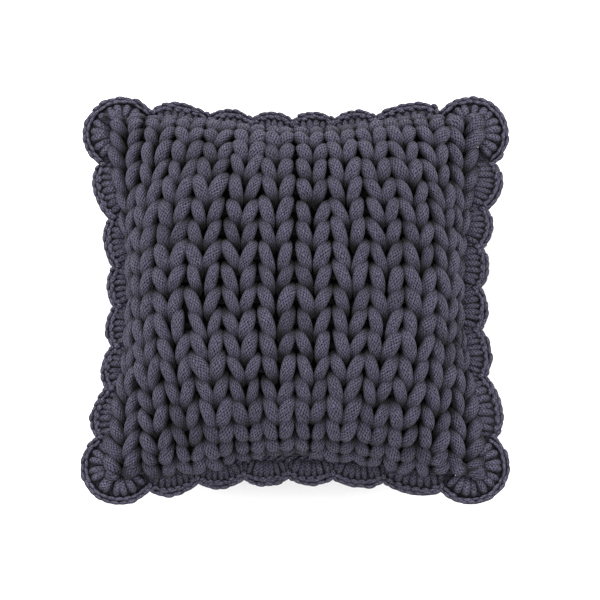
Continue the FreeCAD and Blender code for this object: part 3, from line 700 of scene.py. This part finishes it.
def woven_material(name, colour, pitch_mm, roughness=0.95, contrast=0.35, bump=0.0003):
    """Plain weave: threads passing over and under, with slubs and a slow change of shade."""
    material, tree, shader = new_material(name)
    where = tree.nodes.new("ShaderNodeTexCoord")
    turned = tree.nodes.new("ShaderNodeMapping")
    turned.inputs["Rotation"].default_value = (0.35, 0.35, 0.0)
    turned.inputs["Scale"].default_value = (1000 / pitch_mm,) * 3
    tree.links.new(where.outputs["Object"], turned.inputs["Vector"])
    split = tree.nodes.new("ShaderNodeSeparateXYZ")
    tree.links.new(turned.outputs[0], split.inputs[0])
    warp, weft = (
        math_node(tree, "SINE", math_node(tree, "MULTIPLY", split.outputs[axis], math.pi))
        for axis in (0, 1)
    )
    weave = math_node(tree, "MULTIPLY", warp, weft)
    height = math_node(tree, "ADD", weave, noise_node(tree, 420.0))
    tone = range_node(tree, height, -0.5, 1.5, 1 - contrast, 1 + contrast)
    cloud = math_node(tree, "MULTIPLY_ADD", noise_node(tree, 9.0), 0.35, 0.82)
    colour_by(tree, shader, colour, math_node(tree, "MULTIPLY", tone, cloud))
    tree.links.new(bump_node(tree, height, bump), shader.inputs["Normal"])
    socket(shader, Roughness=roughness, Sheen_Weight=0.05, Specular_IOR_Level=0.15)
    return material


# The lining's near-black colour is painted shade for the deep gaps between the stitches.
LINING_PAINTED_SHADE = woven_material("lining_cloth", (0.0025, 0.0025, 0.0035), pitch_mm=0.9)
grid = np.linspace(-1, 1, 97)
grid_u, grid_v = np.meshgrid(grid, grid, indexing="ij")
lining_out = lining_surface(grid_u, grid_v)
lining_normal = surface_normal(lining_surface, grid_u, grid_v)
lining = sheet_mesh("lining", lining_out, lining_out - lining_normal * LINING_THICK)
lining.data.materials.append(LINING_PAINTED_SHADE)
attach(lining, "root")
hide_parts("cover_lining")

# -------------------- Insert
# A bought cushion pad: two crowned squares of white down-proof cotton sewn together and
# blown full of loose polyester fibre, so the cloth swells and wrinkles towards its seams.
PAD_VOXEL = 0.006
PAD_PRESSURE, PAD_FRAMES = 4.0, 18
PAD_SWELL_LIMIT = 0.0035  # no point of the pad moves further than this


def world_points(thing):
    """Where a mesh object's points are."""
    raw = np.empty(len(thing.data.vertices) * 3, np.float32)
    thing.data.vertices.foreach_get("co", raw)
    raw = raw.reshape(-1, 3).astype(float)
    matrix = np.array(thing.matrix_world)
    return raw @ matrix[:3, :3].T + matrix[:3, 3]


def pad_copy(name, node, across, above, below):
    """A copy of a CAD solid, drawn in by these shares across, above and below the seam."""
    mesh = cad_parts[node].data.copy()
    mesh.name = name
    piece = placed(name, mesh)
    points = world_points(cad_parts[node])
    high = points[:, 2] > SEAM_Z
    points[:, 2] = SEAM_Z + (points[:, 2] - SEAM_Z) * np.where(high, above, below)
    points[:, :2] *= across
    mesh.vertices.foreach_set("co", points.astype(np.float32).ravel())
    mesh.materials.clear()
    return piece


def apply_modifiers(piece):
    """The piece's mesh as its modifiers leave it, with none of them left on."""
    graph = bpy.context.evaluated_depsgraph_get()
    mesh = bpy.data.meshes.new_from_object(piece.evaluated_get(graph))
    piece.modifiers.clear()
    piece.data = mesh
    mesh.polygons.foreach_set("use_smooth", np.ones(len(mesh.polygons), bool))


def remeshed(piece, voxel):
    """Gives the piece an even mesh, with faces about a voxel across."""
    modifier = piece.modifiers.new("voxels", "REMESH")
    modifier.mode = "VOXEL"
    modifier.voxel_size = voxel
    apply_modifiers(piece)


def blown_up(piece, pressure, limit, frames, pins=None):
    """Runs the cloth under pressure from inside and keeps it within the limit. Where there
    are pins it is held, and elsewhere it is cut a little too large."""
    start = world_points(piece)
    cloth = piece.modifiers.new("cloth", "CLOTH")
    cloth.settings.use_pressure = True
    cloth.settings.uniform_pressure_force = pressure
    cloth.settings.effector_weights.gravity = 0
    cloth.settings.mass = 0.2
    cloth.settings.tension_stiffness = 25
    cloth.settings.bending_stiffness = 0.3
    if pins is not None:
        group = piece.vertex_groups.new(name="sewn")
        group.add([int(i) for i in np.nonzero(pins)[0]], 1.0, "REPLACE")
        cloth.settings.vertex_group_mass = "sewn"
        cloth.settings.shrink_min = -0.015
    scene = bpy.context.scene
    for number in range(1, frames + 1):
        scene.frame_set(number)
    apply_modifiers(piece)
    scene.frame_set(1)
    moved = world_points(piece) - start
    far = np.linalg.norm(moved, axis=1, keepdims=True)
    kept = start + moved * np.minimum(1, limit / np.maximum(far, 1e-9))
    piece.data.vertices.foreach_set("co", kept.astype(np.float32).ravel())
    piece.data.update()


INSERT_CLOTH = woven_material("insert_cloth", (0.72, 0.71, 0.68), pitch_mm=0.6,
                              roughness=0.85, contrast=0.10, bump=0.0002)
insert_pad = pad_copy("insert_pad", "fibre_fill", across=0.925, above=0.80, below=0.955)
remeshed(insert_pad, PAD_VOXEL)
blown_up(insert_pad, PAD_PRESSURE, PAD_SWELL_LIMIT, PAD_FRAMES)
insert_pad.data.materials.append(INSERT_CLOTH)
smoother = insert_pad.modifiers.new("smoother", "SUBSURF")
smoother.levels = smoother.render_levels = 1
apply_modifiers(insert_pad)
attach(insert_pad, "root")
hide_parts("insert_shell_front", "insert_shell_back")

# The filling: loose crimped polyester fibre, uneven where its tufts press on the cloth.
FIBRE = woven_material("fibre", (0.80, 0.80, 0.78), pitch_mm=3.0, roughness=1.0, contrast=0.12,
                       bump=0.0015)
FIBRE_VOXEL = 0.010
fibre_core = pad_copy("fibre_core", "fibre_fill", across=0.90, above=0.76, below=0.91)
remeshed(fibre_core, FIBRE_VOXEL)
fibre_points = world_points(fibre_core)
tufts = np.random.default_rng(5).normal(0, 0.0006, fibre_points.shape)
fibre_core.data.vertices.foreach_set("co", (fibre_points + tufts).astype(np.float32).ravel())
fibre_core.data.materials.append(FIBRE)
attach(fibre_core, "root")
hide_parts("fibre_fill")

# -------------------- Back of the cover
# Plain woven cloth in the knit's colour, cut in a large panel and a strip with the zip
# between them. It is pulled round the insert from the seam and lies flat on what it rests on.

# Height, half size at the corners and at the middle of the sides, from the seam down (m).
BACK_LEVELS = np.array((
    (0.0660, 0.1950, 0.1765), (0.0600, 0.1875, 0.1805), (0.0520, 0.1790, 0.1820),
    (0.0420, 0.1720, 0.1775), (0.0320, 0.1650, 0.1720), (0.0220, 0.1490, 0.1625),
    (0.0140, 0.1300, 0.1490), (0.0060, 0.1120, 0.1320), (0.0012, 0.0980, 0.1160),
    (0.0004, 0.0900, 0.1070),
))
SEAM_EDGE, SEAM_BAND = 0.052, 0.014          # above this height the zip's side bows in
ZIP_SLOPE = 0.7002                           # the zip's plane leans out 35 degrees
ZIP_ORIGIN = np.array((0.0, -0.172, 0.042))  # middle of the zip
ZIP_CLOTH = 0.17237                          # the cloth's outside, level with its middle
ZIP_HOLD, ZIP_FADE = 0.0075, 0.0145          # cloth flat on the zip, then easing off it
SLOT_LOW, SLOT_HIGH, SLOT_END = 0.0387, 0.0453, 0.149
FLAT_Z = 0.0004  # underside that lies on what is below
FRONT_Y = -0.15  # the zip's side of the back is beyond this
BACK_THICK = 0.0014
BACK_PRESSURE, BACK_LIMIT, BACK_FRAMES = 2.5, 0.0045, 16
SEAM_TUCKS, ZIP_TUCKS = 0.0016, 0.0008  # depth of the tucks


def back_ring(height, inwards, count):
    """One ring of the back, four sides of 'count' steps, from the bottom left corner."""
    corner = np.interp(-height, -BACK_LEVELS[:, 0], BACK_LEVELS[:, 1]) * inwards
    middle = np.interp(-height, -BACK_LEVELS[:, 0], BACK_LEVELS[:, 2]) * inwards
    seam = np.clip((height - SEAM_EDGE) / SEAM_BAND, 0, 1)
    front = corner * (1 - seam) + middle * seam
    w = np.linspace(-1, 1, count + 1)[:-1]
    long = corner * w
    bowed = middle + (corner - middle) * w**2
    above_zip = height - ZIP_ORIGIN[2]
    off_zip = min(max((abs(above_zip) - ZIP_HOLD) / ZIP_FADE, 0), 1)
    off_zip = off_zip**2 * (3 - 2 * off_zip)
    along_zip = ZIP_CLOTH + ZIP_SLOPE * above_zip
    away = front + (corner - front) * w**2
    bottom = np.stack([long, -(off_zip * away + (1 - off_zip) * along_zip * inwards)], -1)
    right = np.stack([bowed, long], -1)
    top = np.stack([-long, bowed], -1)
    left = np.stack([-bowed, -long], -1)
    return np.concatenate([bottom, right, top, left])


# Heights of the rings of the wall, from the seam down; the slot for the zip is between two.
wall = [0.0660, 0.0630, 0.0595, 0.0560, 0.0520, 0.0487, SLOT_HIGH, SLOT_LOW, 0.0355, 0.0320,
        0.0290, 0.0258, 0.0225, 0.0192, 0.0160, 0.0130, 0.0100, 0.0070, 0.0042, 0.0020, FLAT_Z]
under = np.linspace(0.95, 0.03, 18)  # rings of the flat underside, drawn inwards
SIDE_STEPS = 60
ring_size = 4 * SIDE_STEPS
rings = [
    np.c_[back_ring(height, inwards, SIDE_STEPS), np.full(ring_size, height)]
    for height, inwards in [(z, 1.0) for z in wall] + [(FLAT_Z, share) for share in under]
]
back_points = np.concatenate(rings)
slot_ring = wall.index(SLOT_HIGH)


def back_faces():
    """All the quads between the rings, less those where the slot for the zip is."""
    faces = []
    for ring in range(len(rings) - 1):
        for step in range(ring_size):
            following = (step + 1) % ring_size
            quad = (ring * ring_size + step, (ring + 1) * ring_size + step,
                    (ring + 1) * ring_size + following, ring * ring_size + following)
            middle = back_points[list(quad)].mean(0)
            in_slot = ring == slot_ring and middle[1] < FRONT_Y and abs(middle[0]) < SLOT_END
            if not in_slot:
                faces.append(quad)
    return faces


everything = back_faces()
centre_face = [(len(rings) - 1) * ring_size + step for step in reversed(range(ring_size))]
sheet = bpy.data.meshes.new("back_sheet")
sheet.from_pydata(back_points.tolist(), [], everything + [centre_face])
back_sheet = placed("back_sheet", sheet)
ring_of = np.arange(len(back_points)) // ring_size
near_zip = (back_points[:, 1] < FRONT_Y) & (np.abs(back_points[:, 0]) < SLOT_END + 0.004)
at_zip = (np.abs(ring_of - slot_ring - 0.5) < 2) & near_zip
sewn = (ring_of == 0) | at_zip
blown_up(back_sheet, BACK_PRESSURE, BACK_LIMIT, BACK_FRAMES, sewn)
back_now = world_points(back_sheet)
# The cloth gathers in short tucks where it is pulled into the seam and below the zip.
around = np.arange(len(back_now)) % ring_size
rng = np.random.default_rng(12)
tucks = rng.normal(0, 1, ring_size // 2 + 1)
tuck_at = np.interp(np.arange(ring_size), np.arange(0, ring_size + 1, 2), tucks)
below_zip = np.abs(ring_of - slot_ring - 3)
depth = SEAM_TUCKS * np.exp(-ring_of / 3.2) * (ring_of > 0) + ZIP_TUCKS * np.exp(-below_zip / 3.0)
outwards = back_now[:, :2] / np.linalg.norm(back_now[:, :2], axis=1, keepdims=True)
back_now[:, :2] += outwards * (tuck_at[around] * depth * ~at_zip)[:, None]
back_now[:, 2] = np.clip(back_now[:, 2], FLAT_Z, wall[0])
bpy.data.objects.remove(back_sheet)


def back_panel(name, faces, node):
    """A panel of the back: the chosen faces, given their thickness towards the inside."""
    used = sorted({vertex for face in faces for vertex in face})
    renumber = {vertex: index for index, vertex in enumerate(used)}
    mesh = bpy.data.meshes.new(name)
    renumbered = [[renumber[vertex] for vertex in face] for face in faces]
    mesh.from_pydata(back_now[used].tolist(), [], renumbered)
    piece = placed(name, mesh)
    thickness = piece.modifiers.new("thickness", "SOLIDIFY")
    thickness.thickness = BACK_THICK
    thickness.offset = -1
    apply_modifiers(piece)
    piece.data.materials.clear()
    piece.data.materials.append(BACK_CLOTH)
    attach(piece, "root")
    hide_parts(node)


BACK_CLOTH = woven_material("back_cloth", (0.052, 0.049, 0.067), pitch_mm=1.1, contrast=0.45,
                            bump=0.0004)
is_strip = lambda face: face[0] // ring_size < slot_ring and face[0] % ring_size < SIDE_STEPS
strip_faces = [face for face in everything if is_strip(face)]
main_faces = [face for face in everything if not is_strip(face)] + [centre_face]
back_panel("back_panel_large", main_faces, "back_panel_main")
back_panel("back_panel_narrow", strip_faces, "back_panel_strip")

# -------------------- Zip
# A nylon coil zip between the two back panels: woven tapes sewn behind the edges of the
# cloth, a coil along each, end stops, and an enamelled slider with a flat pull tab.
ZIP_UP = np.array((0.0, -0.573576, 0.819152))    # sine and cosine of those 35 degrees
ZIP_OUT = np.array((0.0, -0.819152, -0.573576))


def on_zip(x, up, out):
    """Points from positions along the zip, up its facing and out of it."""
    x, up, out = np.broadcast_arrays(x, up, out)
    level = ZIP_ORIGIN + np.stack([x, 0 * x, 0 * x], -1)
    return level + up[..., None] * ZIP_UP + out[..., None] * ZIP_OUT


def smooth_material(name, colour, mottle, detail, roughness, metallic=0.0):
    """Moulded nylon or enamelled metal, its gloss dulled unevenly by handling."""
    material, tree, shader = new_material(name)
    wear = noise_node(tree, mottle, detail, place="Generated")
    tree.links.new(range_node(tree, wear, 0.0, 1.0, *roughness), shader.inputs["Roughness"])
    socket(shader, Base_Color=(*colour, 1), Metallic=metallic)
    return material


NYLON = smooth_material("nylon", (0.022, 0.021, 0.028), 300.0, 2.0, roughness=(0.30, 0.50))
COIL_PITCH = 0.0024
COIL_END = 0.1465    # from the middle of the zip to either end
COIL_SUNK = 0.0013   # middle of the coil behind the outside of the cloth
COIL_WIRE = 0.00036  # half thickness of the nylon
COIL_OFF, COIL_REACH, COIL_DEPTH = 0.00175, 0.00125, 0.00062  # its middle and half sizes
TURN_STEPS, COIL_SIDES = 10, 6
coil_x = np.linspace(-COIL_END, COIL_END, int(2 * COIL_END / COIL_PITCH * TURN_STEPS))
for name, hand in (("strip", 1), ("main", -1)):
    wind = coil_x / COIL_PITCH * 2 * np.pi + (0 if hand > 0 else np.pi)
    up = hand * (COIL_OFF + COIL_REACH * np.cos(wind))
    line = on_zip(coil_x, up, COIL_DEPTH * np.sin(wind) - COIL_SUNK)
    side, lift = frame_along(line, np.broadcast_to(ZIP_OUT, line.shape))
    wire = np.full(len(line), COIL_WIRE)
    section = np.ones((len(line), COIL_SIDES))
    path = (line, side, lift, wire, wire, run_along(line), section, np.ones(len(line)))
    coil = tube_mesh(f"zip_teeth_{name}", [path], COIL_SIDES, cuts=20)
    coil.data.materials.append(NYLON)
    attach(coil, "root")
    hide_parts(f"zip_coil_{name}")

# Tapes, stops, slider and pull tab keep their shape and get their finish.
TAPE = woven_material("zip_tape", (0.026, 0.024, 0.033), pitch_mm=0.5, roughness=0.9,
                      bump=0.0002)
ENAMEL = smooth_material("zip_enamel", (0.030, 0.028, 0.036), 220.0, 4.0,
                         roughness=(0.24, 0.46), metallic=0.6)
for node, material in (
    ("zip_tape_main", TAPE), ("zip_tape_strip", TAPE), ("zip_stop_closed", ENAMEL),
    ("zip_stop_open", ENAMEL), ("zip_slider", ENAMEL), ("zip_pull_tab", ENAMEL),
):
    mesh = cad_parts[node].data
    for index in range(len(mesh.materials)):
        mesh.materials[index] = material

# Two rows of topstitching, one each side of the coils, hold the tapes to the cloth.
STITCH_ROW = 0.0068  # from the middle of the zip
STITCH_STEP, STITCH_HALF, THREAD_HALF = 0.0040, 0.0014, 0.00055
stitches = []
thread_rng = np.random.default_rng(31)
for row in (-STITCH_ROW, STITCH_ROW):
    for x in np.arange(-0.150, 0.150, STITCH_STEP):
        ends = on_zip(np.array((x - STITCH_HALF, x + STITCH_HALF)), row, 0.0008)
        stitches.append(spindle(ends[0], ends[1], THREAD_HALF, thread_rng, fullest=0.5, sides=6,
                                bow=0.0))
topstitch = tube_mesh("zip_topstitching", stitches, 6)
topstitch.data.materials.append(CROCHET_YARN)
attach(topstitch, "root")

# -------------------- Studio
# A sheet of white paper as the floor, four softboxes round the pillow, an even white sky, and
# a camera far off with a long lens, looking down steeply from the front.
from mathutils import Vector

FLOOR_HALF = 40.0
paper, _, paper_shader = new_material("paper")
socket(paper_shader, Base_Color=(0.92, 0.92, 0.92, 1), Roughness=0.9)
floor_mesh = bpy.data.meshes.new("studio_floor")
floor_corners = [
    (x * FLOOR_HALF, y * FLOOR_HALF, 0) for x, y in ((-1, -1), (1, -1), (1, 1), (-1, 1))
]
floor_mesh.from_pydata(floor_corners, [], [(0, 1, 2, 3)])
floor_mesh.materials.append(paper)
floor = placed("studio_floor", floor_mesh)


def look_at(thing, aim):
    """Turns a lamp or the camera to face a point."""
    way = Vector(aim) - Vector(thing.location)
    thing.rotation_euler = way.to_track_quat("-Z", "Y").to_euler()


def softbox(name, place, size, watts):
    """A soft lamp of that width and height, aimed at the pillow."""
    lamp = bpy.data.lights.new(name, "AREA")
    lamp.shape = "RECTANGLE"
    lamp.size, lamp.size_y = size
    lamp.energy = watts
    thing = placed(name, lamp)
    thing.location = place
    look_at(thing, (0, 0, 0.05))


softbox("softbox_top", (-0.2, 1.7, 1.2), (1.6, 1.0), 66)
softbox("softbox_left", (-1.7, 0.2, 1.0), (1.2, 0.9), 36)
softbox("softbox_right", (1.7, 0.2, 1.0), (1.2, 0.9), 36)
softbox("softbox_front", (0, -1.3, 1.5), (1.2, 0.9), 27)
sky = bpy.data.worlds.new("studio")
sky.use_nodes = True
socket(sky.node_tree.nodes["Background"], Color=(1, 1, 1, 1), Strength=0.90)
bpy.context.scene.world = sky
bpy.context.scene.view_settings.view_transform = "Standard"

ELEVATION = math.radians(75)
DISTANCE = 9.0
LENS_MM = 503
aim = Vector((0.0053, 0.0, SEAM_Z))
lens = bpy.data.cameras.new("camera")
lens.lens = LENS_MM
camera = placed("camera", lens)
camera.location = aim + DISTANCE * Vector((0, -math.cos(ELEVATION), math.sin(ELEVATION)))
look_at(camera, aim)
bpy.context.scene.camera = camera
